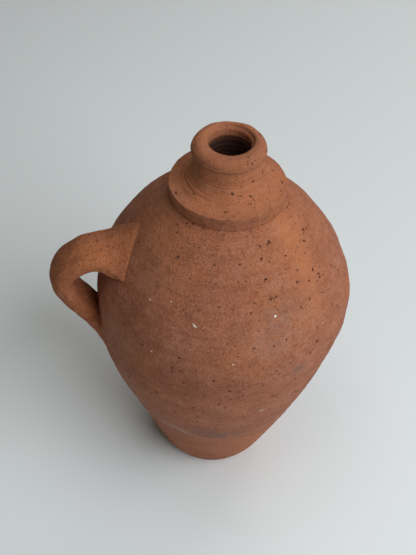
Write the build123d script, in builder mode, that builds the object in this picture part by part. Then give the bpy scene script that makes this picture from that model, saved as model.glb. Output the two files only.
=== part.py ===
from build123d import *
import os
from math import cos, radians, sin, sqrt, tan

# A round-bellied earthenware jug with a stepped collar, a narrow neck and one strap handle, made
# as a potter puts it together: thrown rings of wall, a collar, a neck, a rolled lip, a pulled strap
# and the clay smeared round its two roots, all joined face to face.
#
# Frame: the origin is the centre of the foot's underside, +Z is up and the handle is toward -X.
# Lengths are in millimetres. Half sections are drawn with x as the radius and y as the height.

# Foot, belly and shoulder
foot_radius = 35.9
foot_rounding = 2.5
foot_flare = 25.3  # degrees from upright, where the wall leaves the foot
foot_rise = 34.0  # how far the wall keeps to that direction
belly_radius = 82.3
belly_height = 165.3
belly_rise = 48.2  # how far the wall is nearly upright below the widest place
shoulder_rise = 27.7  # and above it
body_height = 242.0  # to the underside of the collar
shoulder_slope = 35.0  # degrees from level, where the shoulder meets the collar
shoulder_run = 28.6  # how far the shoulder keeps to that slope
wall = 6.5
floor = 9.0
floor_rounding = 8.0

# Collar, neck and lip
collar_radius = 34.6
collar_undercut = 0.9  # the collar's underside is this much narrower
collar_height = 9.6
collar_rounding = 1.2
lip_overhang = 1.2  # how far the lip stands out past the neck
neck_flare_height = 14.4  # of the concave foot of the neck, above the collar
flare_reach = 8.0  # how far in from the collar's edge the flare stays almost level
flare_climb = 1.9  # and how much it climbs over that reach
flare_upright = 7.5  # how far below its top the flare is upright
lip_height = 23.75  # from the collar's top edge to the middle of the lip's bead
bead_radius = 4.65
bore_radius = 12.2
throat_length = 20.7  # the bore's straight length, down from the middle of the bead

# Joints between the thrown pieces
foot_joint_height = 65.0
belly_joint_height = 137.0
neck_joint_inset = 6.6  # from the collar's edge in to the neck's foot
neck_joint_climb = 2.7  # and up to it, just over the flare
scarf_slope = 0.6  # the joint faces fall this much inward, per unit of radius

# Handle
strap_width = 28.2
strap_thickness = 16.6
finger_gap = 9.6  # between the widest part of the wall and the strap
handle_lean = 5.4  # degrees; the upper end leans to -Y
upper_root_drop = 41.1  # from the collar's underside to the middle of the upper root
crest_rise = 9.3  # the strap's corners, above the upper root and then below it
outer_bend_drop = 6.3
outer_bend_bow = 2.0  # this corner stands out past the strap's reach
lean_drop = 26.0  # where the leaning strap crosses the XZ plane
grip_drop = 23.3
lower_bend_drop = 57.1
lower_root_drop = 95.6
lower_sink = 4.2  # how deep the strap's middle lies in the wall at its lower end
bend_share = 0.4  # a bend takes up this share of the shorter run beside it

# Clay smeared round the roots
pad_thickness = 4.0
upper_pad_width = 44.0
upper_pad_length = 35.0
upper_pad_rise = 3.1  # from the middle of the root to the middle of the clay round it
lower_pad_width = 38.0
lower_pad_length = 50.0
lower_pad_rise = 12.0


# ---- Outline of the wall ----


def inset(outline, amount):
    """A row of control points moved inward by an amount, each corner along its mitre."""
    legs = [(end - start).normalized() for start, end in zip(outline, outline[1:])]
    legs = [legs[0], *legs, legs[-1]]
    moved = []
    for corner, before, after in zip(outline, legs, legs[1:]):
        side = Vector(-before.Y, before.X)
        next_side = Vector(-after.Y, after.X)
        moved.append(corner + (side + next_side) * (amount / (1 + side.dot(next_side))))
    return moved


lean_out = Vector(sin(radians(foot_flare)), cos(radians(foot_flare)))
slope_out = Vector(cos(radians(shoulder_slope)), -sin(radians(shoulder_slope)))
foot_corner = Vector(foot_radius, 0)
widest = Vector(belly_radius, belly_height)
step_corner = Vector(collar_radius - collar_undercut, body_height)

lower_points = [
    foot_corner,
    foot_corner + lean_out * foot_rise,
    widest - Vector(0, belly_rise),
    widest,
]
shoulder_points = [
    widest,
    widest + Vector(0, shoulder_rise),
    step_corner + slope_out * shoulder_run,
    step_corner,
]
lower_line = Bezier(*lower_points)
shoulder_line = Bezier(*shoulder_points)


def wall_radius(height):
    """The outer wall's radius at a height, found by halving along its outline."""
    line = lower_line if height < belly_height else shoulder_line
    low, high = 0.0, 1.0
    for _ in range(40):
        middle = (low + high) / 2
        if (line @ middle).Y < height:
            low = middle
        else:
            high = middle
    return (line @ low).X


neck_radius = bore_radius + 2 * bead_radius - lip_overhang
collar_edge = Vector(collar_radius, body_height + collar_height)
bead_centre = Vector(bore_radius + bead_radius, collar_edge.Y + lip_height)
bead_top = bead_centre + Vector(0, bead_radius)
neck_top = Vector(
    neck_radius,
    bead_centre.Y - sqrt(bead_radius**2 - (neck_radius - bead_centre.X) ** 2),
)
flare_top = Vector(neck_radius, collar_edge.Y + neck_flare_height)
throat_foot = Vector(bore_radius, bead_centre.Y - throat_length)

# The inner wall keeps the outer one's shape, a wall's thickness inside, and starts at the floor.
inner_lower_points = inset(lower_points, wall)
floor_climb = (floor - inner_lower_points[0].Y) / lean_out.Y
inner_lower_points[0] += lean_out * floor_climb
inner_shoulder_points = inset(shoulder_points, wall)

with BuildSketch() as wall_section:
    with BuildLine():
        Line((0, 0), foot_corner)
        add(lower_line)
        add(shoulder_line)
        Line(step_corner, collar_edge)
        Bezier(
            collar_edge,
            collar_edge + Vector(-flare_reach, flare_climb),
            flare_top - Vector(0, flare_upright),
            flare_top,
        )
        Line(flare_top, neck_top)
        ThreePointArc(neck_top, bead_top, bead_centre - Vector(bead_radius, 0))
        Line(bead_centre - Vector(bead_radius, 0), throat_foot)
        Line(throat_foot, inner_shoulder_points[-1])
        Bezier(*inner_shoulder_points)
        Bezier(*inner_lower_points)
        Line(inner_lower_points[0], (0, floor))
        Line((0, floor), (0, 0))
    make_face()
    fillet(wall_section.vertices().sort_by_distance(foot_corner)[0], radius=foot_rounding)
    fillet(wall_section.vertices().sort_by_distance(collar_edge)[0], radius=collar_rounding)
    fillet(
        wall_section.vertices().sort_by_distance(inner_lower_points[0])[0],
        radius=floor_rounding,
    )

# ---- Joints ----

outside = 2 * belly_radius
joint_overrun = 10.0  # a joint line goes this far past the wall before it runs level


def joint(place, slope):
    """A joint line through a place on the outline, from the axis out past the wall."""
    end = Vector(place.X + joint_overrun, place.Y + slope * joint_overrun)
    return [Vector(0, place.Y - slope * place.X), end, Vector(outside, end.Y)]


def between(lower, upper):
    """The corners of the zone between two joint lines."""
    return lower + upper[::-1]


ground = joint(Vector(0, -1), 0)
foot_joint = joint(Vector(wall_radius(foot_joint_height), foot_joint_height), scarf_slope)
belly_joint = joint(Vector(wall_radius(belly_joint_height), belly_joint_height), scarf_slope)
collar_joint = joint(step_corner, scarf_slope)
neck_joint = joint(collar_edge + Vector(-neck_joint_inset, neck_joint_climb), scarf_slope)
lip_joint = joint(neck_top, 0)
above_lip = joint(bead_top + Vector(0, 1), 0)

# ---- Thrown pieces ----

with BuildPart() as foot_bowl:
    with BuildSketch(Plane.XZ):
        add(wall_section.sketch_local)
        with BuildLine():
            Polyline(*between(ground, foot_joint), close=True)
        make_face(mode=Mode.INTERSECT)
    revolve(axis=Axis.Z)

with BuildPart() as belly_section:
    with BuildSketch(Plane.XZ):
        add(wall_section.sketch_local)
        with BuildLine():
            Polyline(*between(foot_joint, belly_joint), close=True)
        make_face(mode=Mode.INTERSECT)
    revolve(axis=Axis.Z)

with BuildPart() as shoulder_section:
    with BuildSketch(Plane.XZ):
        add(wall_section.sketch_local)
        with BuildLine():
            Polyline(*between(belly_joint, collar_joint), close=True)
        make_face(mode=Mode.INTERSECT)
    revolve(axis=Axis.Z)

with BuildPart() as collar_ring:
    with BuildSketch(Plane.XZ):
        add(wall_section.sketch_local)
        with BuildLine():
            Polyline(*between(collar_joint, neck_joint), close=True)
        make_face(mode=Mode.INTERSECT)
    revolve(axis=Axis.Z)

with BuildPart() as neck_section:
    with BuildSketch(Plane.XZ):
        add(wall_section.sketch_local)
        with BuildLine():
            Polyline(*between(neck_joint, lip_joint), close=True)
        make_face(mode=Mode.INTERSECT)
    revolve(axis=Axis.Z)

with BuildPart() as rolled_lip:
    with BuildSketch(Plane.XZ):
        add(wall_section.sketch_local)
        with BuildLine():
            Polyline(*between(lip_joint, above_lip), close=True)
        make_face(mode=Mode.INTERSECT)
    revolve(axis=Axis.Z)

# ---- Handle ----

# The jug filled solid, which the strap and the pads are cut back to.
with BuildPart() as filled_jug:
    with BuildSketch(Plane.XZ):
        with BuildLine():
            Line((0, 0), foot_corner)
            add(lower_line)
            add(shoulder_line)
            Line(step_corner, (0, step_corner.Y))
            Line((0, step_corner.Y), (0, 0))
        make_face()
    revolve(axis=Axis.Z)

# x runs outward and y up the leaning strap, from its crossing with the XZ plane.
upper_root_height = body_height - upper_root_drop
lower_bend_height = upper_root_height - lower_bend_drop
lower_root_height = upper_root_height - lower_root_drop
lean_height = upper_root_height - lean_drop
lean_angle = radians(handle_lean)
handle_plane = Plane(
    origin=(0, 0, lean_height),
    x_dir=(-1, 0, 0),
    z_dir=(0, cos(lean_angle), sin(lean_angle)),
)
handle_reach = belly_radius + finger_gap + strap_thickness / 2
upper_root_reach = wall_radius(upper_root_height) - wall

strap_corners = [
    Vector(upper_root_reach, lean_drop),
    Vector((upper_root_reach + handle_reach) / 2, lean_drop + crest_rise),
    Vector(handle_reach + outer_bend_bow, lean_drop - outer_bend_drop),
    Vector(handle_reach, lean_drop - grip_drop),
    Vector(wall_radius(lower_bend_height), lean_drop - lower_bend_drop),
    Vector(wall_radius(lower_root_height) - lower_sink, lean_drop - lower_root_drop),
]


def bend_radii(corners):
    """The bend radius at each inner corner, as large as the shorter run beside it allows."""
    radii = []
    for before, corner, after in zip(corners, corners[1:], corners[2:]):
        turn = radians((corner - before).get_angle(after - corner))
        shorter_run = min((corner - before).length, (after - corner).length)
        radii.append(bend_share * shorter_run / tan(turn / 2))
    return radii


with BuildLine(handle_plane) as strap_path:
    FilletPolyline(
        *[(corner.X, corner.Y) for corner in strap_corners],
        radius=bend_radii(strap_corners),
    )

with BuildPart() as handle_strap:
    strap_end = Plane(
        origin=strap_path.line @ 0,
        x_dir=handle_plane.z_dir,
        z_dir=strap_path.line % 0,
    )
    with BuildSketch(strap_end):
        Ellipse(strap_width / 2, strap_thickness / 2)
    sweep(path=strap_path.line)
    add(filled_jug.part, mode=Mode.SUBTRACT)

# ---- Clay round the strap's roots ----

# Faces -X, with x toward -Y and y up.
root_plane = Plane(origin=(0, 0, 0), x_dir=(0, -1, 0), z_dir=(-1, 0, 0))
pad_lower_points = inset(lower_points, -pad_thickness)
pad_shoulder_points = inset(shoulder_points, -pad_thickness)

with BuildSketch() as pad_section:
    with BuildLine():
        add(lower_line)
        add(shoulder_line)
        Line(step_corner, pad_shoulder_points[-1])
        Bezier(*pad_shoulder_points)
        Bezier(*pad_lower_points)
        Line(pad_lower_points[0], foot_corner)
    make_face()


upper_pad_height = upper_root_height + upper_pad_rise
lower_pad_height = lower_root_height + lower_pad_rise


def lean_offset(height):
    """How far the leaning strap's middle is toward -Y at a height."""
    return (height - lean_height) * tan(lean_angle)


with BuildPart() as handle_upper_pad:
    with BuildSketch(Plane.XZ):
        add(pad_section.sketch_local)
    revolve(axis=Axis.Z)
    with BuildSketch(root_plane):
        with Locations((lean_offset(upper_pad_height), upper_pad_height)):
            Ellipse(upper_pad_width / 2, upper_pad_length / 2)
    extrude(amount=handle_reach, mode=Mode.INTERSECT)
    add(handle_strap.part, mode=Mode.SUBTRACT)

with BuildPart() as handle_lower_pad:
    with BuildSketch(Plane.XZ):
        add(pad_section.sketch_local)
    revolve(axis=Axis.Z)
    with BuildSketch(root_plane):
        with Locations((lean_offset(lower_pad_height), lower_pad_height)):
            Ellipse(lower_pad_width / 2, lower_pad_length / 2)
    extrude(amount=handle_reach, mode=Mode.INTERSECT)
    add(handle_strap.part, mode=Mode.SUBTRACT)

# ---- Output ----

os.makedirs("parts", exist_ok=True)

foot_bowl.part.label = "foot_bowl"
belly_section.part.label = "belly_section"
shoulder_section.part.label = "shoulder_section"
collar_ring.part.label = "collar_ring"
neck_section.part.label = "neck_section"
rolled_lip.part.label = "rolled_lip"
handle_strap.part.label = "handle_strap"
handle_upper_pad.part.label = "handle_upper_pad"
handle_lower_pad.part.label = "handle_lower_pad"

export_step(foot_bowl.part, "parts/foot_bowl.step")
export_step(belly_section.part, "parts/belly_section.step")
export_step(shoulder_section.part, "parts/shoulder_section.step")
export_step(collar_ring.part, "parts/collar_ring.step")
export_step(neck_section.part, "parts/neck_section.step")
export_step(rolled_lip.part, "parts/rolled_lip.step")
export_step(handle_strap.part, "parts/handle_strap.step")
export_step(handle_upper_pad.part, "parts/handle_upper_pad.step")
export_step(handle_lower_pad.part, "parts/handle_lower_pad.step")
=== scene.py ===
import math

import bpy
import numpy as np
from mathutils import Matrix, Vector


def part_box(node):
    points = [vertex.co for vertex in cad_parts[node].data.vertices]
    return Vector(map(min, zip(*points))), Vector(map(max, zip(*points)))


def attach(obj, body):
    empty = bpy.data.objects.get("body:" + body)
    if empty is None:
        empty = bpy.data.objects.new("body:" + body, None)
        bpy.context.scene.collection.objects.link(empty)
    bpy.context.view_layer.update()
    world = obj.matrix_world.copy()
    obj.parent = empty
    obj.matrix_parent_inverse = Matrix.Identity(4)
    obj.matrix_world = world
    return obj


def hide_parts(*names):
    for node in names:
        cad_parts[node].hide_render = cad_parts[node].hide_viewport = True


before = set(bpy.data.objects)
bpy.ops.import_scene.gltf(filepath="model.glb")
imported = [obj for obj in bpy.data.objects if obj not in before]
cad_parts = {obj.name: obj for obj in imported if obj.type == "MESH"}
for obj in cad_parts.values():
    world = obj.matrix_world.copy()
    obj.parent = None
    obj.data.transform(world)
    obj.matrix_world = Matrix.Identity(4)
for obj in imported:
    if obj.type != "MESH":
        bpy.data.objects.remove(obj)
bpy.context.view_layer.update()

# An unglazed earthenware jug, thrown in rings, with a pulled strap handle. Lengths below are in
# millimetres and angles in degrees, and the meshes are scaled to metres as they are made.
# An outline is a row of points (radius, height). Azimuth runs round the jug from +X toward +Y,
# so the handle, toward -X, is at 180 degrees.
MM = 0.001
SEED = 495
COLUMNS = 576  # round every thrown piece


def box_mm(node):
    """The lowest and highest corner of a CAD node, in millimetres."""
    low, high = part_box(node)
    return np.array(low) / MM, np.array(high) / MM


# ---- Sizes, from the frame where it gives them ----

belly_radius = box_mm("shoulder_section")[1][0]
foot_joint_height = box_mm("foot_bowl")[1][2]
belly_joint_height = box_mm("belly_section")[1][2]
step_height = box_mm("shoulder_section")[1][2]
collar_radius = box_mm("collar_ring")[1][0]
lip_joint_height = box_mm("neck_section")[1][2]
lip_top = box_mm("rolled_lip")[1][2]
lip_radius = box_mm("rolled_lip")[1][0]
strap_reach = -box_mm("handle_strap")[0][0]

foot_radius = 35.9
foot_rounding = 2.5
belly_height = 165.3
collar_undercut = 0.9
collar_height = 9.6
collar_rounding = 0.8
neck_radius = 20.3
neck_flare_height = 14.4
bead_radius = 4.65
bore_radius = lip_radius - 2 * bead_radius
throat_length = 20.7
floor_height = 9.0
scarf_slope = 0.6

collar_edge = np.array([collar_radius, step_height + collar_height])
step_corner = np.array([collar_radius - collar_undercut, step_height])
neck_joint_place = collar_edge + [-6.6, 2.7]
bead_centre = np.array([bore_radius + bead_radius, lip_top - bead_radius])
neck_top = np.array([neck_radius, lip_joint_height])
flare_top = np.array([neck_radius, collar_edge[1] + neck_flare_height])
throat_foot = np.array([bore_radius, bead_centre[1] - throat_length])


# ---- Outline ----


def ease(value, start, end):
    """0 before start, 1 after end, and a smooth S between them."""
    share = np.clip((value - start) / (end - start), 0, 1)
    return share * share * (3 - 2 * share)


def resample(points, step):
    """The same line with points evenly spaced, about a step apart."""
    lengths = np.hypot(*np.diff(points, axis=0).T)
    along = np.concatenate([[0], np.cumsum(lengths)])
    places = np.linspace(0, along[-1], max(2, round(along[-1] / step) + 1))
    return np.column_stack([np.interp(places, along, points[:, axis]) for axis in (0, 1)])


def straight(start, end, step):
    """A straight stretch between two points."""
    return resample(np.array([start, end], float), step)


def bend(corners, step):
    """A cubic Bezier curve of four corners."""
    t = np.linspace(0, 1, 400)[:, None]
    a, b, c, d = np.array(corners, float)
    curve = (1 - t) ** 3 * a + 3 * t * (1 - t) ** 2 * b + 3 * t**2 * (1 - t) * c + t**3 * d
    return resample(curve, step)


def arc(centre, radius, start, end, step):
    """A circular arc between two angles from the +radius direction."""
    angles = np.radians(np.linspace(start, end, 200))
    return resample(centre + radius * np.column_stack([np.cos(angles), np.sin(angles)]), step)


def joined(*stretches):
    """Stretches end to end, without the doubled points where they meet."""
    kept = [stretches[0]] + [stretch[1:] for stretch in stretches[1:]]
    return np.vstack(kept)


BODY_STEP = 0.95
NECK_STEP = 0.4
INSIDE_STEP = 4.0

lower_corners = [(foot_radius, 0), (50.4, 30.7), (belly_radius, 117.1), (belly_radius, belly_height)]
shoulder_corners = [(belly_radius, belly_height), (belly_radius, 193), (57.1, 225.6), step_corner]
inner_lower_corners = [(33.9, 9), (45.2, 33.4), (75.8, 117.8), (75.8, belly_height)]
inner_shoulder_corners = [(75.8, belly_height), (75.8, 190.4), (52.2, 221.0), (30.0, 236.7)]

lower_wall = bend(lower_corners, BODY_STEP)
lower_wall = lower_wall[lower_wall[:, 1] > foot_rounding * 0.8]
foot_turn = bend(
    [(foot_radius - foot_rounding, 0), (foot_radius, 0), (foot_radius, 0), lower_wall[0]], 0.5
)
bead_start = math.degrees(math.atan2(*(neck_top - bead_centre)[::-1]))
collar_turn = collar_edge - [0, collar_rounding]
flare_start = collar_edge + [-collar_rounding, 0.19]

outer_outline = joined(
    straight((0, 0), foot_turn[0], 1.5),
    foot_turn,
    lower_wall,
    bend(shoulder_corners, BODY_STEP),
    straight(step_corner, collar_turn, 0.6),
    bend([collar_turn, collar_edge, collar_edge, flare_start], 0.3),
    bend([flare_start, (26.6, 253.5), flare_top - [0, 7.5], flare_top], NECK_STEP),
    straight(flare_top, neck_top, NECK_STEP),
    arc(bead_centre, bead_radius, bead_start, 90, 0.35),
)
inner_outline = joined(
    arc(bead_centre, bead_radius, 90, 180, 0.35),
    straight(bead_centre - [bead_radius, 0], throat_foot, NECK_STEP),
    straight(throat_foot, inner_shoulder_corners[-1], 1.5),
    bend(inner_shoulder_corners[::-1], INSIDE_STEP),
    bend(inner_lower_corners[::-1], INSIDE_STEP)[:-3],
    bend([(36.4, 14.5), (34.0, 9.5), (32.0, 9), (26, 9)], 1.0),
    straight((26, 9), (0, floor_height), 3.0),
)


def with_normals(outline, first_length):
    """Columns radius, height, outward normal and length along: the normal is the line's
    direction turned a quarter to its right."""
    steps = np.gradient(outline, axis=0)
    steps /= np.hypot(*steps.T)[:, None]
    lengths = np.hypot(*np.diff(outline, axis=0).T)
    along = first_length + np.concatenate([[0], np.cumsum(lengths)])
    return np.column_stack([outline, steps[:, 1], -steps[:, 0], along])


outer_line = with_normals(outer_outline, 0)
inner_line = with_normals(inner_outline, outer_line[-1, 4])
outer_line[-1, 2:4] = inner_line[0, 2:4] = (0, 1)
outer_line[0, 2:4] = (0, -1)
inner_line[-1, 2:4] = (0, 1)

# A stretch of wall that a height belongs to once, for the handle's roots.
wall_rows = outer_line[(outer_line[:, 1] > foot_rounding) & (outer_line[:, 1] < step_height)]
wall_rows = wall_rows[np.argsort(wall_rows[:, 1])]

# ---- How the hand and the wheel leave the wall ----

draw = np.random.default_rng(SEED)
to_right = np.array([0.978, -0.208])  # the jug leans a little this way and that along it
sway_heights = [0, 60, 120, 165, 205, 241.5, 280]
sway_amounts = [-1.2, 0, -1.3, 1.4, 0.4, 0.4, -0.1]
bore_shift = np.array([0.95, 2.3])  # the bore is this far off the centre line
LIP_SHARE = 0.25  # the top of the lip's bead is moved over by this share of that

slow_waves = [
    (turns, draw.uniform(-0.03, 0.03), draw.uniform(0, 2 * np.pi), 0.42 / turns)
    for turns in (2, 2, 3, 3, 4, 5, 6, 7)
]
ridge_waves = [
    (pitch, draw.integers(-1, 2), draw.uniform(0, 2 * np.pi), draw.uniform(0, 2 * np.pi))
    for pitch in (3.1, 3.7, 4.4, 5.2, 6.7, 8.3, 11.0, 14.5)
]
neck_waves = [
    (pitch, draw.integers(-1, 2), draw.uniform(0, 2 * np.pi), draw.uniform(0, 2 * np.pi))
    for pitch in (1.7, 2.1, 2.4, 2.9, 3.6)
]
# Grooves of the neck: height, depth and width
neck_grooves = [
    (271.2, 0.45, 0.6),
    (269.4, 0.62, 0.5),
    (267.6, 0.34, 0.4),
    (265.9, 0.62, 0.5),
    (264.2, 0.32, 0.4),
    (262.4, 0.52, 0.45),
    (260.6, 0.28, 0.4),
    (258.9, 0.48, 0.45),
    (257.3, 0.32, 0.4),
    (255.8, 0.36, 0.4),
]


def sway(height):
    """The centre's shift at a height: an S between each pair of given places."""
    shift = np.full(np.shape(height), float(sway_amounts[0]))
    for low, high, before, after in zip(
        sway_heights, sway_heights[1:], sway_amounts, sway_amounts[1:]
    ):
        shift = shift + (after - before) * ease(height, low, high)
    return shift


def fullness(height):
    """How far the wall stands out from its plain curve: one hollow between two swellings."""
    foot_swell = 1.0 * np.exp(-(((height - 16) / 12) ** 2))
    hollow = 0.8 * np.exp(-(((height - 68) / 26) ** 2))
    belly_swell = 0.8 * np.exp(-(((height - 124) / 16) ** 2))
    return foot_swell - hollow + belly_swell


def wobble(azimuth, height):
    """Out of round: slow waves round the jug that turn as they climb."""
    total = 0
    for turns, climb, phase, size in slow_waves:
        total = total + size * np.cos(turns * azimuth + climb * height + phase)
    return total * 0.6


def ridges(azimuth, along, waves, size):
    """Finger lines: waves along the outline, each rising and fading once round the jug."""
    total = 0
    for pitch, rise, phase, start in waves:
        fading = 0.65 + 0.35 * np.cos(azimuth + start)
        total = total + fading * np.cos(2 * np.pi * along / pitch + rise * azimuth + phase)
    return total * size


def grooves(azimuth, height):
    """The neck's grooves, each a narrow ring that wanders up and down a little."""
    total = 0
    for number, (place, depth, width) in enumerate(neck_grooves):
        wander = 0.35 * np.sin(azimuth * (1 + number % 3) + 2.1 * number)
        fading = 0.6 + 0.4 * np.cos(azimuth + 1.7 * number)
        total = total - depth * fading * np.exp(-(((height - place - wander) / width) ** 2))
    return total


def band_edge(azimuth):
    """Height of the trimmed band's upper edge, which rises and falls round the jug."""
    return 63 + 6.5 * np.cos(azimuth + np.radians(85)) + 1.2 * np.sin(5 * azimuth)


def lumps(points, wavelength, count, seed):
    """Soft lumps of about one size: plane waves in every direction, added."""
    waves = np.random.default_rng(seed)
    total = np.zeros(len(points))
    for _ in range(count):
        direction = waves.normal(size=3)
        direction *= 2 * np.pi / wavelength / np.linalg.norm(direction)
        phase = waves.uniform(0, 2 * np.pi)
        total += np.cos(points @ direction * waves.uniform(0.7, 1.4) + phase)
    return total / math.sqrt(count / 2)


def outside_lift(azimuth, height, along):
    """How far the outer wall stands off its outline, along its normal."""
    on_neck = ease(height, 252.5, 256)
    off_foot = ease(height, 0, 8)
    body = ridges(azimuth, along, ridge_waves, 0.012) * (1 - on_neck) * off_foot
    neck = ridges(azimuth, along, neck_waves, 0.035) * on_neck
    trimmed = 0.45 * (1 - ease(height, band_edge(azimuth) - 0.8, band_edge(azimuth) + 0.8))
    return body + neck + grooves(azimuth, height) + (fullness(height) - trimmed) * off_foot


def inside_lift(azimuth, height, along):
    """The same for the bore and the inside, with the deep finger lines of the throat."""
    in_bore = ease(height, 250, 256) * (1 - ease(height, 273, 278))
    deep = ridges(azimuth, along, ridge_waves, 0.12) * (1 - in_bore)
    return deep + ridges(azimuth, along, neck_waves, 0.13) * in_bore


def outside_share(normal_r, height):
    """The share of the bore's shift on the outside: none below the lip and on the bead's outer
    side, growing to the lip's share on the bead's top."""
    return LIP_SHARE * ease(-normal_r, -0.9, 0.0) * ease(height, 268, 276)


def stand(radius, height, azimuth, share=0.0):
    """Points in space from radius, height and azimuth, round the swaying centre, moved over by
    a share of the bore's shift."""
    x = radius * np.cos(azimuth) + sway(height) * to_right[0] + share * bore_shift[0]
    y = radius * np.sin(azimuth) + sway(height) * to_right[1] + share * bore_shift[1]
    return np.stack([x, y, height + np.zeros_like(x)], axis=-1)


def thrown_surface(rows, inside):
    """A grid of points: each row of the outline carried round the jug, lifted along its normal
    and pushed in and out by soft lumps. The foot's underside is level near its rim and rises a
    little to its middle."""
    azimuth = np.linspace(0, 2 * np.pi, COLUMNS, endpoint=False)[None, :]
    radius, height, normal_r, normal_z, along = rows.T[:, :, None]
    lift = (inside_lift if inside else outside_lift)(azimuth, height, along)
    steady = ease(radius, 0, 12) * ease(height, -1, 10)
    out_of_round = wobble(azimuth, height) * steady
    if inside:
        lift = lift * ease(radius, 0, 12)
        share = LIP_SHARE + (1 - LIP_SHARE) * ease(-normal_r, 0, 0.9)
    else:
        share = outside_share(normal_r, height)
    lifted_radius = np.maximum(radius + lift * normal_r + out_of_round * np.abs(normal_r), 0)
    underside = (height < 0.01) & (not inside)
    hollow = 0.9 * (1 - np.clip(radius / (foot_radius - 6), 0, 1) ** 2)
    lifted_height = np.where(underside, hollow, height + lift * normal_z)
    points = stand(lifted_radius, lifted_height, azimuth, share)
    flat = points.reshape(-1, 3)
    soft = lumps(flat, wavelength=22, count=24, seed=7) * 0.16
    fine = lumps(flat, wavelength=7, count=24, seed=8) * 0.05
    push = (soft + fine).reshape(points.shape[:2]) * steady
    ring = np.stack([normal_r * np.cos(azimuth), normal_r * np.sin(azimuth)], axis=-1)
    points[:, :, :2] += push[:, :, None] * ring
    points[:, :, 2] += np.where(underside, 0, push * normal_z)
    return points


def outside_point(azimuth, along):
    """Points on the outside from azimuth and length along the outline."""
    radius, height, normal_r, normal_z = (
        np.interp(along, outer_line[:, 4], outer_line[:, column]) for column in range(4)
    )
    lift = outside_lift(azimuth, height, along)
    share = outside_share(normal_r, height)
    radius = radius + lift * normal_r + wobble(azimuth, height) * np.abs(normal_r)
    return stand(radius, height + lift * normal_z, azimuth, share)


def wall_point(azimuth, height, lift):
    """Points on the outer wall, or lifted off it along its normal."""
    radius, normal_r, normal_z, along = (
        np.interp(height, wall_rows[:, 1], wall_rows[:, column]) for column in (0, 2, 3, 4)
    )
    off = outside_lift(azimuth, height, along) + lift
    points = stand(radius + off * normal_r + wobble(azimuth, height), height, azimuth)
    points[..., 2] += off * normal_z
    return points


# ---- Marks: pits, lime chips and stains ----

# Azimuth, height, half length, half width and the turn of the long way from level. The half
# sizes are scaled by PIT_SCALE and CHIP_SCALE when the marks are placed.
pits = [
    (-105, 166, 1.5, 0.8, 60),
    (-98, 156, 1.4, 0.9, -40),
    (-32, 230, 1.7, 0.8, -50),
    (-77, 222, 1.0, 0.8, 0),
    (-55, 204, 0.9, 0.7, 30),
    (-88, 189, 1.0, 0.8, 0),
    (-57, 177, 1.3, 1.0, 45),
    (-123, 170, 1.2, 0.7, 50),
    (-130, 137, 1.1, 0.8, 0),
    (-101, 140, 1.5, 0.8, 10),
    (-98, 136, 1.4, 0.6, 20),
    (-83, 150, 1.0, 0.7, 20),
    (-76, 140, 1.1, 0.8, -30),
    (-100, 106, 1.3, 0.6, 0),
    (-147, 131, 1.3, 0.9, -60),
    (-95, 185, 0.9, 0.7, 0),
    (-138, 177, 1.0, 0.8, 70),
    (-72, 172, 0.9, 0.7, 0),
    (-67, 151, 1.0, 0.8, 40),
    (-77, 165, 0.9, 0.7, 0),
    (-118, 158, 1.1, 0.8, 30),
    (-42, 190, 1.0, 0.8, 80),
    (-38, 172, 1.2, 0.9, 10),
    (-62, 128, 1.1, 0.8, 20),
    (-88, 118, 1.0, 0.7, 0),
    (-112, 132, 1.1, 0.8, 40),
    (-92, 230, 0.9, 0.7, 0),
    (-66, 236, 0.8, 0.7, 0),
    (-110, 120, 0.9, 0.7, 0),
    (-80, 104, 1.1, 0.6, 10),
    (-95, 58, 1.0, 0.7, 20),
    (-82, 40, 1.2, 0.7, 0),
    (25, 180, 1.3, 0.8, 30),
    (60, 150, 1.1, 0.9, 0),
    (95, 200, 1.2, 0.8, 50),
    (130, 120, 1.2, 0.8, 20),
]
chips = [
    (-140, 205, 0.7, 0.6, 0),
    (-129, 209, 0.7, 0.6, 0),
    (-115, 201, 1.8, 0.6, -35),
    (-76, 204, 1.0, 0.8, 30),
    (-97, 180, 0.8, 0.6, 0),
    (-79, 122, 1.6, 0.6, 5),
    (-133, 176, 0.6, 0.5, 0),
    (-52, 186, 0.5, 0.4, 0),
    (40, 200, 1.0, 0.7, 20),
    (110, 160, 0.8, 0.6, 0),
]


MARK_REACH = 2.0  # a mark's size along the surface's normal
PIT_SCALE = 0.68
CHIP_SCALE = 0.75
SCATTERED_PITS = 1100
FAR_FROM_MARKS = 9.0  # the offset kept by points that no mark is near


def scattered_pits(count):
    """Small pits at seeded places on the outside, denser toward the jug's right front. Their
    places are azimuth and length along the outline."""
    azimuth = draw.uniform(-180, 180, count)
    crowded = draw.uniform(0, 1, count) < 0.4
    azimuth = np.where(crowded, draw.normal(-60, 35, count), azimuth)
    along = draw.uniform(foot_radius + 4, outer_line[-1, 4], count)
    size = 0.20 + 0.36 * draw.uniform(0, 1, count) ** 4
    stretch = draw.uniform(1, 1.9, count)
    turn = draw.normal(0, 40, count)
    return np.column_stack([azimuth, along, size * stretch, size, turn])


def placed(marks, scale):
    """Marks given by height, with the length along the outline in its place."""
    rows = np.array(marks, float)
    heights, along = outer_line[:, 1], outer_line[:, 4]
    rows[:, 1] = np.interp(rows[:, 1], np.maximum.accumulate(heights), along)
    rows[:, 2:4] *= scale
    return rows


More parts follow.
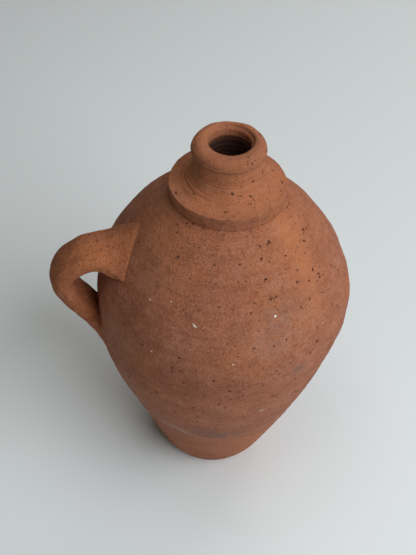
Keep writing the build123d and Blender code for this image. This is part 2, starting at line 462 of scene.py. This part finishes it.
def place_marks(rows, whiteness):
    """Centres, local frames and sizes of the marks on the outside."""
    azimuth, along, long_half, short_half, turn = rows.T
    azimuth, turn = np.radians(azimuth), np.radians(turn)
    centre = outside_point(azimuth, along)
    level = np.column_stack([-np.sin(azimuth), np.cos(azimuth), np.zeros(len(azimuth))])
    above = outside_point(azimuth, along + 0.5) - outside_point(azimuth, along - 0.5)
    above /= np.linalg.norm(above, axis=1)[:, None]
    long_way = level * np.cos(turn)[:, None] + above * np.sin(turn)[:, None]
    out = np.cross(level, above)
    out /= np.linalg.norm(out, axis=1)[:, None]
    short_way = np.cross(out, long_way)
    frame_of = np.stack([long_way, short_way, out], axis=1)
    sizes = np.column_stack([long_half, short_half, np.full(len(azimuth), MARK_REACH)])
    return centre, frame_of, sizes, np.full(len(azimuth), whiteness)


mark_sets = [
    place_marks(np.vstack([placed(pits, PIT_SCALE), scattered_pits(SCATTERED_PITS)]), 0.0),
    place_marks(placed(chips, CHIP_SCALE), 1.0),
]
mark_centres, mark_frames, mark_sizes, mark_whiteness = (
    np.concatenate(parts) for parts in zip(*mark_sets)
)


def nearest_marks(points, cell):
    """For every point, its offset from the nearest mark in that mark's own frame and size, and
    the mark's whiteness. A point more than a few sizes away gets one fixed far offset."""
    offsets = np.full(points.shape, FAR_FROM_MARKS)
    whiteness = np.zeros(len(points))
    for start in range(0, len(points), 20000):
        part = points[start : start + 20000]
        squares = (part**2).sum(1)[:, None] + (mark_centres**2).sum(1)[None, :]
        squares = np.maximum(squares - 2 * part @ mark_centres.T, 0)
        chosen = np.argmin(squares / (mark_sizes[:, 0] * mark_sizes[:, 1]), axis=1)
        away = part - mark_centres[chosen]
        local = np.einsum("nij,nj->ni", mark_frames[chosen], away) / mark_sizes[chosen]
        limit = 1.6 + 1.5 * cell / mark_sizes[chosen, 1]
        close = np.linalg.norm(local, axis=1) < limit
        offsets[start : start + 20000][close] = local[close]
        whiteness[start : start + 20000] = mark_whiteness[chosen]
    return offsets, whiteness


def patch(azimuth, height, place, spread, turn=0.0):
    """A soft oval patch on the wall, 1 in its middle. Place is azimuth and height, spread is the
    half widths round and up in millimetres at the belly's radius, and turn tilts it."""
    round_way = ((azimuth - np.radians(place[0]) + np.pi) % (2 * np.pi) - np.pi) * belly_radius
    up_way = height - place[1]
    cosine, sine = math.cos(math.radians(turn)), math.sin(math.radians(turn))
    long_way = (round_way * cosine + up_way * sine) / spread[0]
    short_way = (up_way * cosine - round_way * sine) / spread[1]
    return np.exp(-(long_way**2) - short_way**2)


def stains(points):
    """Three stains at every point: orange flashing, grey smoke and whitish scum."""
    azimuth = np.arctan2(points[:, 1], points[:, 0])
    height = points[:, 2]

    def spot(place, spread, turn=0.0):
        return patch(azimuth, height, place, spread, turn)

    orange = spot((-44, 232), (18, 14)) + 0.7 * spot((-50, 215), (9, 22), -15)
    orange = orange + 0.45 * spot((-150, 230), (30, 14)) + 0.8 * ease(height, 250, 254)
    orange = orange + 0.35 * spot((100, 190), (45, 30))
    smoke = 0.9 * spot((-104, 86), (20, 9), -8) + 0.8 * spot((-66, 162), (5, 4))
    smoke = smoke + 0.35 * spot((-71, 205), (12, 7)) + 0.5 * spot((-48, 118), (14, 7), 40)
    smoke = smoke + 0.45 * spot((-92, 80), (26, 7)) + 0.4 * spot((40, 110), (40, 18))
    scum = 0.9 * spot((-128, 80), (22, 5), -28) + 0.55 * spot((-112, 73), (16, 3.5), -10)
    scum = scum + 0.45 * spot((-148, 112), (12, 26), 20) + 0.4 * spot((-62, 84), (26, 7), 20)
    scum = scum + 0.35 * spot((150, 80), (50, 14)) + 0.35 * spot((-76, 194), (22, 13))
    return np.clip(np.column_stack([orange, smoke, scum]), 0, 1)


# ---- Meshes ----


def grid_faces(rows, columns, closed_rows):
    """Four-sided faces between neighbouring rows and columns of a grid whose columns close into
    a ring, and whose last row meets the first again if the rows are closed."""
    row = np.arange(rows if closed_rows else rows - 1)[:, None]
    column = np.arange(columns)[None, :]
    next_row = (row + 1) % rows
    next_column = (column + 1) % columns
    corners = [
        row * columns + column,
        row * columns + next_column,
        next_row * columns + next_column,
        next_row * columns + column,
    ]
    return np.stack(corners, axis=-1).reshape(-1, 4)


def fan(ring, pole, outward_first):
    """Three-sided faces from a ring of vertices to a pole."""
    following = np.roll(ring, -1)
    order = [ring, following] if outward_first else [following, ring]
    return np.column_stack([*order, np.full(len(ring), pole)])


def make_mesh(name, points, quads, triangles):
    """A mesh object from points in millimetres and its faces, smooth all over."""
    mesh = bpy.data.meshes.new(name)
    mesh.vertices.add(len(points))
    mesh.vertices.foreach_set("co", (points * MM).astype(np.float32).ravel())
    triangles = np.asarray(triangles, int).reshape(-1, 3)
    loops = np.concatenate([quads.ravel(), triangles.ravel()])
    sizes = np.concatenate([np.full(len(quads), 4), np.full(len(triangles), 3)])
    starts = np.concatenate([[0], np.cumsum(sizes)[:-1]])
    mesh.loops.add(len(loops))
    mesh.loops.foreach_set("vertex_index", loops.astype(np.int32))
    mesh.polygons.add(len(sizes))
    mesh.polygons.foreach_set("loop_start", starts.astype(np.int32))
    mesh.polygons.foreach_set("use_smooth", np.ones(len(sizes), bool))
    mesh.update(calc_edges=True)
    mesh.validate()
    piece = bpy.data.objects.new(name, mesh)
    bpy.context.scene.collection.objects.link(piece)
    return piece


def add_attribute(piece, name, kind, values):
    """A value or a vector kept at every vertex, for the clay to read."""
    field = {"FLOAT": "value", "FLOAT_VECTOR": "vector"}[kind]
    attribute = piece.data.attributes.new(name, kind, "POINT")
    attribute.data.foreach_set(field, values.astype(np.float32).ravel())


def dress(piece, points, cell, clay, node, inside=None):
    """Marks, stains and the clay on a finished piece, which then stands for its CAD node. Inside is
    how much the clay is darkened: painted shade inside the jug, and a little painted shade on the
    lip's top."""
    offsets, whiteness = nearest_marks(points, cell)
    azimuth = np.arctan2(points[:, 1], points[:, 0])
    trimmed = 1 - ease(points[:, 2], band_edge(azimuth) - 1.5, band_edge(azimuth) + 1.5)
    add_attribute(piece, "mark", "FLOAT_VECTOR", offsets)
    add_attribute(piece, "lime", "FLOAT", whiteness)
    add_attribute(piece, "stain", "FLOAT_VECTOR", stains(points))
    add_attribute(piece, "trimmed", "FLOAT", trimmed)
    add_attribute(piece, "inside", "FLOAT", np.zeros(len(points)) if inside is None else inside)
    piece.data.materials.append(clay)
    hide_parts(node)
    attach(piece, "root")


def dented(points, depth_share):
    """Points pressed level toward the axis at the pits, most in a pit's middle. Lime chips leave
    the surface as it is."""
    offsets, whiteness = nearest_marks(points, 1.0)
    distance = np.linalg.norm(offsets, axis=1)
    hollow = np.clip(1 - (distance / 1.5) ** 2, 0, 1) ** 2 * (1 - whiteness)
    inward = points * [-1, -1, 0]
    inward /= np.maximum(np.linalg.norm(inward, axis=1), 1e-6)[:, None]
    return points + inward * (hollow * depth_share)[:, None]


# ---- Thrown pieces ----


def joint_gap(rows, joint):
    """How far rows are above a joint line, which runs through a place at a slope."""
    place, slope = joint
    return rows[:, 1] - place[1] - slope * (rows[:, 0] - place[0])


def cut(rows, joint, keep_above):
    """The part of an outline above or below a joint line, with a point on the line itself."""
    gap = joint_gap(rows, joint)
    kept = gap > 1e-6 if keep_above else gap < -1e-6
    index = np.flatnonzero(kept)
    first, last = index[0], index[-1]
    parts = [rows[first : last + 1]]
    if first > 0:
        share = gap[first - 1] / (gap[first - 1] - gap[first])
        parts.insert(0, (rows[first - 1] * (1 - share) + rows[first] * share)[None])
    if last < len(rows) - 1:
        share = gap[last] / (gap[last] - gap[last + 1])
        parts.append((rows[last] * (1 - share) + rows[last + 1] * share)[None])
    return np.vstack(parts)


def wall_place(height):
    """The outer wall's point at a height."""
    return np.array([np.interp(height, wall_rows[:, 1], wall_rows[:, 0]), height])


foot_joint = (wall_place(foot_joint_height), scarf_slope)
belly_joint = (wall_place(belly_joint_height), scarf_slope)
collar_joint = (step_corner, scarf_slope)
neck_joint = (neck_joint_place, scarf_slope)
lip_joint = (neck_top, 0.0)


def thrown_piece(name, below, above, clay, dent=0.0):
    """One thrown piece between two joints: its outside, its upper joint face, its inside and its
    lower joint face, as one closed grid carried round the jug."""
    outside, inside = outer_line, inner_line
    for joint, keep_above in ((below, True), (above, False)):
        if joint:
            outside = cut(outside, joint, keep_above)
            inside = cut(inside, joint, keep_above)
    if not above:
        inside = inside[1:]
    outer_points = thrown_surface(outside, False)
    if dent:
        outer_points = dented(outer_points.reshape(-1, 3), dent).reshape(outer_points.shape)
    points = np.concatenate([outer_points, thrown_surface(inside, True)])
    # Painted shade: the top of the neck and the lip, inside and out, darkened a little from 270 mm
    # high and fully above 274 mm.
    painted_lip_shade = 0.17 * ease(np.concatenate([outside[:, 1], inside[:, 1]]), 270, 274)
    # Painted shade: the inside of the jug is darkened fully below 270 mm high, fading out by 277 mm.
    painted_shade = np.concatenate([np.zeros(len(outside)), 1 - ease(inside[:, 1], 270, 277)])
    painted_shade = np.maximum(painted_shade, painted_lip_shade)
    rows = len(points)
    if below:
        quads = grid_faces(rows, COLUMNS, True)
        flat, triangles = points.reshape(-1, 3), []
        painted_shade = np.repeat(painted_shade, COLUMNS)
    else:
        # The foot's piece ends in two poles, under the foot and on the floor inside.
        poles = np.array([points[0].mean(0), points[-1].mean(0)])
        points = points[1:-1]
        painted_shade = np.concatenate([np.repeat(painted_shade[1:-1], COLUMNS), painted_shade[[0, -1]]])
        rows = len(points)
        quads = grid_faces(rows, COLUMNS, False)
        flat = np.vstack([points.reshape(-1, 3), poles])
        first_ring = np.arange(COLUMNS)
        last_ring = first_ring + (rows - 1) * COLUMNS
        pole = rows * COLUMNS
        triangles = np.vstack([fan(first_ring, pole, False), fan(last_ring, pole + 1, True)])
    piece = make_mesh(name, flat, quads, triangles)
    dress(piece, flat, 1.0, clay, name, painted_shade)


# ---- Handle ----

lean = math.radians(5.4)
lean_height = step_height - 67.1
strap_half_width = 14.1
strap_half_thickness = 8.3
strap_corners = [
    (64.8, 26.9),
    (82.5, 36.0),
    (strap_reach - 6.3, 20.2),
    (strap_reach - 8.3, 3.2),
    (80.8, -31.1),
    (68.8, -69.6),
]
ROOT_WIDENING = 5.5  # of the strap's half width at its upper root
STRAP_SLIMMING = 1.2  # of the strap's half thickness away from its upper root
END_OVERSHOOT = 0.12  # one more corner at each end lies this share of a span beyond it
BURIED = 3.0  # the strap's ends go this deep into the wall and no deeper


def strap_path(count):
    """Quadratic B-spline of the strap's corners, evenly spaced: distance from the axis toward
    the handle, and height up the leaning plane."""
    corners = np.array([strap_corners[0], *strap_corners, strap_corners[-1]], float)
    corners[0] = corners[1] - (corners[2] - corners[1]) * END_OVERSHOOT
    corners[-1] = corners[-2] + (corners[-2] - corners[-3]) * END_OVERSHOOT
    t = np.linspace(0, 1, 60, endpoint=False)[:, None]
    spans = [
        0.5 * ((1 - t) ** 2 * a + (1 + 2 * t - 2 * t**2) * b + t**2 * c)
        for a, b, c in zip(corners, corners[1:], corners[2:])
    ]
    line = resample(np.vstack(spans), 0.9)
    places = np.linspace(0, 1, count) * (len(line) - 1)
    return np.column_stack([np.interp(places, np.arange(len(line)), line[:, k]) for k in (0, 1)])


def strap_surface(count, around):
    """The strap: an oval flattened on its inner face, carried along the path. It widens and
    thickens toward the upper root, and a little toward the tail. Its pulled ridges run along
    it, and soft lumps push it in and out."""
    path = strap_path(count)
    direction = np.gradient(path, axis=0)
    direction /= np.hypot(*direction.T)[:, None]
    outward = np.column_stack([-direction[:, 1], direction[:, 0]])
    lengths = np.concatenate([[0], np.cumsum(np.hypot(*np.diff(path, axis=0).T))])
    total = lengths[-1]
    angle = np.linspace(0, 2 * np.pi, around, endpoint=False)[None, :]
    power = np.where(np.sin(angle) < 0, 0.84, 0.97)
    across = np.sign(np.cos(angle)) * np.abs(np.cos(angle)) ** power
    through = np.sign(np.sin(angle)) * np.abs(np.sin(angle)) ** power
    root = (1 - ease(lengths, 2, 22))[:, None]
    tail = ease(lengths, total - 45, total - 8)[:, None]
    half_width = strap_half_width - 0.8 + ROOT_WIDENING * root + 0.8 * tail
    half_thickness = strap_half_thickness - STRAP_SLIMMING + STRAP_SLIMMING * root + 0.6 * tail
    slow = 0.25 * np.sin(lengths / 17 + 1)[:, None] + 0.12 * np.sin(lengths / 9)[:, None]
    pulled = 0.16 * np.cos(7 * angle + 1) + 0.12 * np.cos(11 * angle + 2.4)
    across = across * (half_width + slow + pulled)
    through = through * (half_thickness + 0.5 * slow + pulled)
    reach = path[:, :1] + outward[:, :1] * through
    climb = path[:, 1:] + outward[:, 1:] * through
    x = -reach
    y = -climb * math.sin(lean) - across * math.cos(lean)
    z = lean_height + climb * math.cos(lean) - across * math.sin(lean)
    points = np.stack([x, y, z], axis=-1)
    rough = lumps(points.reshape(-1, 3), wavelength=14, count=24, seed=9) * 0.12
    rough = rough.reshape(points.shape[:2])
    middle = points.mean(1, keepdims=True)
    away = points - middle
    away /= np.linalg.norm(away, axis=-1, keepdims=True)
    return points + away * rough[:, :, None]


def wall_gap(points):
    """How far points are outside the outer wall, measured level from the axis."""
    azimuth = np.arctan2(points[..., 1], points[..., 0])
    surface = wall_point(azimuth, points[..., 2], 0)
    return np.hypot(points[..., 0], points[..., 1]) - np.hypot(surface[..., 0], surface[..., 1])


def kept_in_wall(points, depth):
    """Points deeper in the wall than a depth are brought out to it, so the ends stay hidden."""
    gap = wall_gap(points)
    radius = np.hypot(points[..., 0], points[..., 1])
    pushed = np.where(gap < -depth, radius - gap - depth, radius) / radius
    return points * np.stack([pushed, pushed, np.ones_like(pushed)], axis=-1)


def handle_strap_piece(clay):
    """The strap as one closed grid, with a pole in the middle of each end inside the wall."""
    rows, around = 300, 176
    points = kept_in_wall(strap_surface(rows, around), BURIED)
    poles = kept_in_wall(np.array([points[0].mean(0), points[-1].mean(0)]), BURIED)
    flat = np.vstack([points.reshape(-1, 3), poles])
    ring = np.arange(around)
    pole = rows * around
    triangles = np.vstack(
        [fan(ring, pole, False), fan(ring + (rows - 1) * around, pole + 1, True)]
    )
    piece = make_mesh("handle_strap", flat, grid_faces(rows, around, False), triangles)
    dress(piece, flat, 0.8, clay, "handle_strap")


def root_pad(name, at_start, climb, spread, lean, ridge, fullness_of_fillet, clay):
    """Clay smeared round a root. For each place round the strap, a curve leaves the strap's
    surface, turns at the corner between strap and wall, and runs out on the wall, where it ends
    in a low edge. The section closes inside the strap and the wall.

    Climb is how far the clay reaches up the strap, on its lower and its upper side. Spread is
    how far it runs out past the root on the wall: below, sideways and above. With the root's
    own size it gives a superellipse, which lean narrows toward its top and widens toward its
    foot. Ridge is the height of the low edge. The fuller the fillet, the more the curve stands
    out from the corner."""
    around, steps = 220, 40
    strap = strap_surface(900, around)
    if not at_start:
        strap = strap[::-1]
    gap = wall_gap(strap)
    outside = gap > 0
    first = np.argmax(outside, axis=0)
    columns = np.arange(around)
    share = gap[first - 1, columns] / (gap[first - 1, columns] - gap[first, columns])
    share = share[:, None]
    corner = strap[first - 1, columns] * (1 - share) + strap[first, columns] * share
    lengths = np.zeros(strap.shape[:2])
    lengths[1:] = np.cumsum(np.linalg.norm(np.diff(strap, axis=0), axis=2), axis=0)
    angle = np.linspace(0, 2 * np.pi, around, endpoint=False)
    up_share = 0.5 + 0.5 * np.sin(angle) * (1 if at_start else -1)
    rise = climb[0] + (climb[1] - climb[0]) * up_share
    start = np.empty_like(corner)
    for column in columns:
        goal = lengths[first[column], column] + rise[column]
        for axis in range(3):
            start[column, axis] = np.interp(goal, lengths[:, column], strap[:, column, axis])
    azimuth = np.unwrap(np.arctan2(corner[:, 1], corner[:, 0]))
    height = corner[:, 2]
    radius = np.hypot(corner[:, 0], corner[:, 1]).mean()
    centre = np.array([azimuth.mean() * radius, height.mean()])
    away = np.column_stack([azimuth * radius, height]) - centre
    away /= np.linalg.norm(away, axis=1)[:, None]
    root = np.column_stack([azimuth * radius, height]) - centre
    side = np.abs(root[:, 0]).max() + spread[1]
    above, below = root[:, 1].max() + spread[2], spread[0] - root[:, 1].min()
    rise_of_end = np.where(away[:, 1] > 0, above, below)
    power = 2.5 - 0.5 * np.tanh(4 * away[:, 1])
    reach = (np.abs(away[:, 0]) / side) ** power + (np.abs(away[:, 1]) / rise_of_end) ** power
    reach = reach ** (-1 / power) + 0.5 * np.sin(3 * angle + 0.5) + 0.3 * np.sin(8 * angle)
    end_height = away[:, 1] * reach
    end_side = away[:, 0] * reach * np.maximum(1 - lean * end_height / 20, 0.2)
    v = np.linspace(0, 1, steps)[:, None]
    wall_azimuth = ((centre[0] + end_side) / radius)[None, :]
    wall_height = (centre[1] + end_height)[None, :]
    end = wall_point(wall_azimuth[0], wall_height[0], 0)
    turn = corner + fullness_of_fillet * ((start + end) / 2 - corner)
    curve = (
        (1 - v[..., None]) ** 2 * start[None]
        + 2 * v[..., None] * (1 - v[..., None]) * turn[None]
        + v[..., None] ** 2 * end[None]
    )
    gap = wall_gap(curve)
    lift = ridge * ease(v, 0.45, 0.8) * (1 - ease(v, 0.9, 1.0)) - 0.4 * ease(v, 0.93, 1.0)
    lift = lift - 0.5 * (1 - ease(v, 0.0, 0.16))
    flat_way = curve * [1, 1, 0]
    flat_way /= np.linalg.norm(flat_way, axis=-1, keepdims=True)
    grounded = np.where(gap < 0, -gap, 0)
    curve = curve + flat_way * (grounded + lift)[..., None]
    under = kept_in_wall(np.stack([wall_point(wall_azimuth[0], wall_height[0], -2.0)]), 2.5)
    inner = corner + (corner.mean(0) - corner) * 0.25
    inner = kept_in_wall(inner[None], 2.0)
    back = start + (start.mean(0) - start) * 0.25
    points = np.concatenate([curve, under, inner, back[None]])
    quads = grid_faces(len(points), around, True)
    if at_start:
        quads = quads[:, ::-1]
    piece = make_mesh(name, points.reshape(-1, 3), quads, [])
    dress(piece, points.reshape(-1, 3), 0.8, clay, name)


# ---- Clay ----


def srgb(red, green, blue):
    """A colour as it is seen on a screen, 0 to 255, made linear."""
    share = np.array([red, green, blue]) / 255
    linear = np.where(share <= 0.04045, share / 12.92, ((share + 0.055) / 1.055) ** 2.4)
    return (*linear.tolist(), 1.0)


class Shader:
    """Adds nodes to a material and joins them up. Place is in the piece's own coordinates."""

    def __init__(self, name):
        self.material = bpy.data.materials.new(name)
        self.material.use_nodes = True
        self.tree = self.material.node_tree
        self.surface = self.tree.nodes["Principled BSDF"]
        self.place = self.node("ShaderNodeTexCoord").outputs["Object"]

    def node(self, kind, **settings):
        made = self.tree.nodes.new(kind)
        for key, value in settings.items():
            setattr(made, key, value)
        return made

    def put(self, value, socket):
        """Joins an output to a socket, or sets the socket to a number."""
        if isinstance(value, bpy.types.NodeSocket):
            self.tree.links.new(value, socket)
        else:
            socket.default_value = value

    def attribute(self, name, output="Vector"):
        return self.node("ShaderNodeAttribute", attribute_name=name).outputs[output]

    def stretched(self, scale, turn=(0, 0, 0)):
        mapping = self.node("ShaderNodeMapping")
        self.put(self.place, mapping.inputs["Vector"])
        mapping.inputs["Scale"].default_value = scale
        mapping.inputs["Rotation"].default_value = turn
        return mapping.outputs["Vector"]

    def noise(self, scale, detail=3.0, roughness=0.55, place=None):
        """Noise with features about 1 / scale metres wide, from 0 to 1."""
        made = self.node("ShaderNodeTexNoise")
        self.put(place or self.place, made.inputs["Vector"])
        made.inputs["Scale"].default_value = scale
        made.inputs["Detail"].default_value = detail
        made.inputs["Roughness"].default_value = roughness
        return made.outputs["Fac"]

    def math(self, operation, first, second=0.0):
        made = self.node("ShaderNodeMath", operation=operation)
        self.put(first, made.inputs[0])
        self.put(second, made.inputs[1])
        return made.outputs[0]

    def between(self, value, low, high, start=0.0, end=1.0):
        """A value mapped smoothly from one range onto another, and held beyond it."""
        made = self.node("ShaderNodeMapRange", interpolation_type="SMOOTHSTEP")
        self.put(value, made.inputs["Value"])
        made.inputs["From Min"].default_value = low
        made.inputs["From Max"].default_value = high
        made.inputs["To Min"].default_value = start
        made.inputs["To Max"].default_value = end
        return made.outputs["Result"]

    def mix(self, share, first, second, blend="MIX"):
        made = self.node("ShaderNodeMix", data_type="RGBA", blend_type=blend)
        self.put(share, made.inputs["Factor"])
        self.put(first, made.inputs[6])
        self.put(second, made.inputs[7])
        return made.outputs[2]

    def add(self, *values):
        total = values[0]
        for value in values[1:]:
            total = self.math("ADD", total, value)
        return total


def clay_material(name, body, warm, pale, dark, streaks):
    """Fired earthenware: a body colour with warm, pale and dark clouds, level turning streaks, sand
    grain, pits, lime chips, orange flashing, smoke and scum, with painted shade in the pits and
    pinholes and inside the jug. Each layer is a noise of its own scale, laid over the one before it."""
    clay = Shader(name)
    clouds = clay.noise(24, 5, 0.6)
    drifts = clay.noise(1, 4, 0.55, clay.stretched((30, 30, 55), (0.3, 0.2, 0)))
    mottle = clay.noise(190, 4, 0.6)
    grain = clay.noise(760, 3, 0.65)
    sand = clay.noise(1900, 2, 0.6)
    turning = clay.noise(1, 5, 0.6, clay.stretched(streaks))

    colour = clay.mix(clay.between(clouds, 0.42, 0.60), body, warm)
    colour = clay.mix(clay.between(drifts, 0.50, 0.66, 0, 0.55), colour, pale)
    colour = clay.mix(clay.between(drifts, 0.46, 0.32, 0, 0.40), colour, dark)
    colour = clay.mix(clay.between(turning, 0.52, 0.66, 0, 0.22), colour, pale)
    colour = clay.mix(clay.between(turning, 0.48, 0.34, 0, 0.30), colour, dark)
    colour = clay.mix(clay.between(mottle, 0.52, 0.68, 0, 0.40), colour, pale)
    colour = clay.mix(clay.between(mottle, 0.48, 0.32, 0, 0.45), colour, dark)
    colour = clay.mix(clay.between(grain, 0.52, 0.66, 0, 0.50), colour, pale)
    colour = clay.mix(clay.between(grain, 0.48, 0.34, 0, 0.60), colour, dark)
    colour = clay.mix(clay.between(sand, 0.62, 0.70, 0, 0.50), colour, srgb(214, 164, 136))
    colour = clay.mix(clay.between(sand, 0.38, 0.30, 0, 0.60), colour, srgb(104, 58, 42))

    stain = clay.node("ShaderNodeSeparateXYZ")
    clay.put(clay.attribute("stain"), stain.inputs[0])
    broken = clay.between(clay.noise(170, 4, 0.65), 0.36, 0.60, 0.15, 1.0)
    orange = clay.math("MULTIPLY", stain.outputs["X"], 0.55)
    smoke = clay.math("MULTIPLY", clay.math("MULTIPLY", stain.outputs["Y"], broken), 0.70)
    scum = clay.math("MULTIPLY", clay.math("MULTIPLY", stain.outputs["Z"], broken), 0.60)
    colour = clay.mix(orange, colour, srgb(188, 118, 78))
    colour = clay.mix(smoke, colour, srgb(108, 94, 90))
    colour = clay.mix(scum, colour, srgb(170, 146, 132))
    trimmed = clay.attribute("trimmed", "Fac")
    colour = clay.mix(clay.math("MULTIPLY", trimmed, 0.4), colour, srgb(176, 112, 82))
    # Painted shade inside the jug and a little on the lip's top: the clay is mixed toward a
    # near-black brown by the inside attribute.
    inside = clay.attribute("inside", "Fac")
    colour = clay.mix(clay.math("MULTIPLY", inside, 0.93), colour, srgb(44, 24, 20))

    # Pinholes from a cell pattern, and the placed pits and chips from the mark attribute. The
    # pinholes and pits get painted shade, with a darker ring round every mark, and the chips are
    # white.
    cells = clay.node("ShaderNodeTexVoronoi")
    clay.put(clay.place, cells.inputs["Vector"])
    cells.inputs["Scale"].default_value = 420
    chosen = clay.node("ShaderNodeSeparateColor")
    clay.put(cells.outputs["Color"], chosen.inputs[0])
    few = clay.between(chosen.outputs[0], 0.84, 0.86)
    pinhole = clay.between(cells.outputs["Distance"], 0.26, 0.12)
    pinhole = clay.math("MULTIPLY", pinhole, few)
    length = clay.node("ShaderNodeVectorMath", operation="LENGTH")
    clay.put(clay.attribute("mark"), length.inputs[0])
    ragged = clay.between(clay.noise(1500, 2, 0.5), 0.3, 0.7, -0.45, 0.45)
    distance = clay.math("ADD", length.outputs["Value"], ragged)
    inside_mark = clay.between(distance, 1.2, 0.75)
    rim = clay.between(distance, 2.1, 1.2)
    lime = clay.between(clay.attribute("lime", "Fac"), 0.4, 0.6)
    pit = clay.math("MULTIPLY", inside_mark, clay.math("SUBTRACT", 1.0, lime))
    chip = clay.math("MULTIPLY", inside_mark, lime)
    # Painted shade: a darker ring round every mark, on a pit's sloping edge.
    colour = clay.mix(clay.math("MULTIPLY", rim, 0.3), colour, dark)
    # Painted shade in the pinholes: dark brown.
    colour = clay.mix(clay.math("MULTIPLY", pinhole, 0.6), colour, srgb(92, 50, 36))
    # Painted shade in the pits: near-black brown.
    colour = clay.mix(clay.math("MULTIPLY", pit, 0.88), colour, srgb(56, 26, 18))
    colour = clay.mix(chip, colour, srgb(244, 234, 222))

    relief = clay.add(
        clay.math("MULTIPLY", mottle, 0.45),
        clay.math("MULTIPLY", grain, 0.55),
        clay.math("MULTIPLY", sand, 0.22),
        clay.math("MULTIPLY", turning, 0.30),
        clay.math("MULTIPLY", pinhole, -0.30),
        clay.math("MULTIPLY", pit, -0.70),
        clay.math("MULTIPLY", chip, 0.20),
    )
    bump = clay.node("ShaderNodeBump")
    bump.inputs["Strength"].default_value = 1.0
    bump.inputs["Distance"].default_value = 1.0 * MM
    clay.put(relief, bump.inputs["Height"])
    clay.put(bump.outputs["Normal"], clay.surface.inputs["Normal"])
    clay.put(colour, clay.surface.inputs["Base Color"])
    clay.put(clay.between(grain, 0.35, 0.65, 0.84, 0.96), clay.surface.inputs["Roughness"])
    clay.surface.inputs["Specular IOR Level"].default_value = 0.28
    return clay.material


body_clay = clay_material(
    "fired clay",
    body=srgb(161, 99, 72),
    warm=srgb(169, 103, 69),
    pale=srgb(180, 120, 94),
    dark=srgb(132, 76, 53),
    streaks=(14, 14, 420),
)
handle_clay = clay_material(
    "pulled clay",
    body=srgb(161, 95, 61),
    warm=srgb(170, 101, 60),
    pale=srgb(174, 112, 79),
    dark=srgb(128, 71, 48),
    streaks=(60, 240, 60),
)

thrown_piece("foot_bowl", None, foot_joint, body_clay, dent=0.5)
thrown_piece("belly_section", foot_joint, belly_joint, body_clay, dent=0.5)
thrown_piece("shoulder_section", belly_joint, collar_joint, body_clay, dent=0.5)
thrown_piece("collar_ring", collar_joint, neck_joint, body_clay)
thrown_piece("neck_section", neck_joint, lip_joint, body_clay)
thrown_piece("rolled_lip", lip_joint, None, body_clay)
handle_strap_piece(handle_clay)
root_pad("handle_upper_pad", True, (4, 16), (-4, 3.6, 15), 0.4, 0.8, 0.6, handle_clay)
root_pad("handle_lower_pad", False, (5, 3), (4, 1.5, 2.5), 0.0, 0.3, 0.3, handle_clay)


# ---- Floor, light and camera ----


# Places in metres, angles in degrees and the lens in millimetres
LIGHT_DISTANCE = 1.6
JUG_MIDDLE = Vector((0, 0, 0.14))
CAMERA_PLACE = Vector((-0.08652, -0.3644, 0.5673))
CAMERA_ANGLES = (-12.0, 46.85, 2.45)  # azimuth, elevation and roll
CAMERA_LENS = 54.1


def toward(azimuth, elevation):
    """The direction from the jug to a place, with azimuth from -Y toward +X, in radians."""
    return Vector(
        (
            math.sin(azimuth) * math.cos(elevation),
            -math.cos(azimuth) * math.cos(elevation),
            math.sin(elevation),
        )
    )


def pale_floor():
    """A wide level floor of one pale colour."""
    side = 6000.0
    corners = np.array([(-1, -1, 0), (1, -1, 0), (1, 1, 0), (-1, 1, 0)]) * side / 2
    piece = make_mesh("floor", corners, np.array([[0, 1, 2, 3]]), [])
    paint = Shader("pale floor")
    paint.put(srgb(237, 241, 242), paint.surface.inputs["Base Color"])
    paint.surface.inputs["Roughness"].default_value = 0.8
    paint.surface.inputs["Specular IOR Level"].default_value = 0.2
    piece.data.materials.append(paint.material)


def soft_light(name, azimuth, elevation, size, power, colour):
    """A square light that faces the middle of the jug. Azimuth is from -Y toward +X."""
    light = bpy.data.lights.new(name, "AREA")
    light.shape = "SQUARE"
    light.size = size
    light.energy = power
    light.color = colour
    piece = bpy.data.objects.new(name, light)
    direction = toward(math.radians(azimuth), math.radians(elevation))
    piece.location = JUG_MIDDLE + direction * LIGHT_DISTANCE
    piece.rotation_euler = direction.to_track_quat("Z", "Y").to_euler()
    bpy.context.scene.collection.objects.link(piece)


def camera():
    """Looks down on the jug from its front, turned a little about its own line of sight."""
    azimuth, elevation, roll = (math.radians(angle) for angle in CAMERA_ANGLES)
    back = toward(azimuth, elevation)
    level = Vector((math.cos(azimuth), math.sin(azimuth), 0))
    upward = back.cross(level)
    right = level * math.cos(roll) + upward * math.sin(roll)
    up = upward * math.cos(roll) - level * math.sin(roll)
    lens = bpy.data.cameras.new("camera")
    lens.lens = CAMERA_LENS
    lens.sensor_width = 36
    piece = bpy.data.objects.new("camera", lens)
    turned = Matrix((right, up, back)).transposed().to_4x4()
    piece.matrix_world = Matrix.Translation(CAMERA_PLACE) @ turned
    bpy.context.scene.collection.objects.link(piece)
    bpy.context.scene.camera = piece


def surroundings():
    """Dim, slightly warm light from all round."""
    world = bpy.data.worlds.new("surroundings")
    world.use_nodes = True
    background = world.node_tree.nodes["Background"]
    background.inputs["Color"].default_value = (1.0, 0.98, 0.90, 1)
    background.inputs["Strength"].default_value = 0.01
    bpy.context.scene.world = world


pale_floor()
soft_light("window", 43, 39, 1.4, 23.0, (0.955, 1.0, 1.03))
soft_light("far_window", 140, 30, 1.0, 4.8, (1.0, 0.97, 0.93))
soft_light("pale_ceiling", 0, 88, 1.1, 6.6, (0.98, 1.0, 0.98))
soft_light("pale_wall", -60, 55, 1.0, 1.0, (1.0, 0.97, 0.76))
surroundings()
camera()
bpy.context.scene.view_settings.view_transform = "Standard"
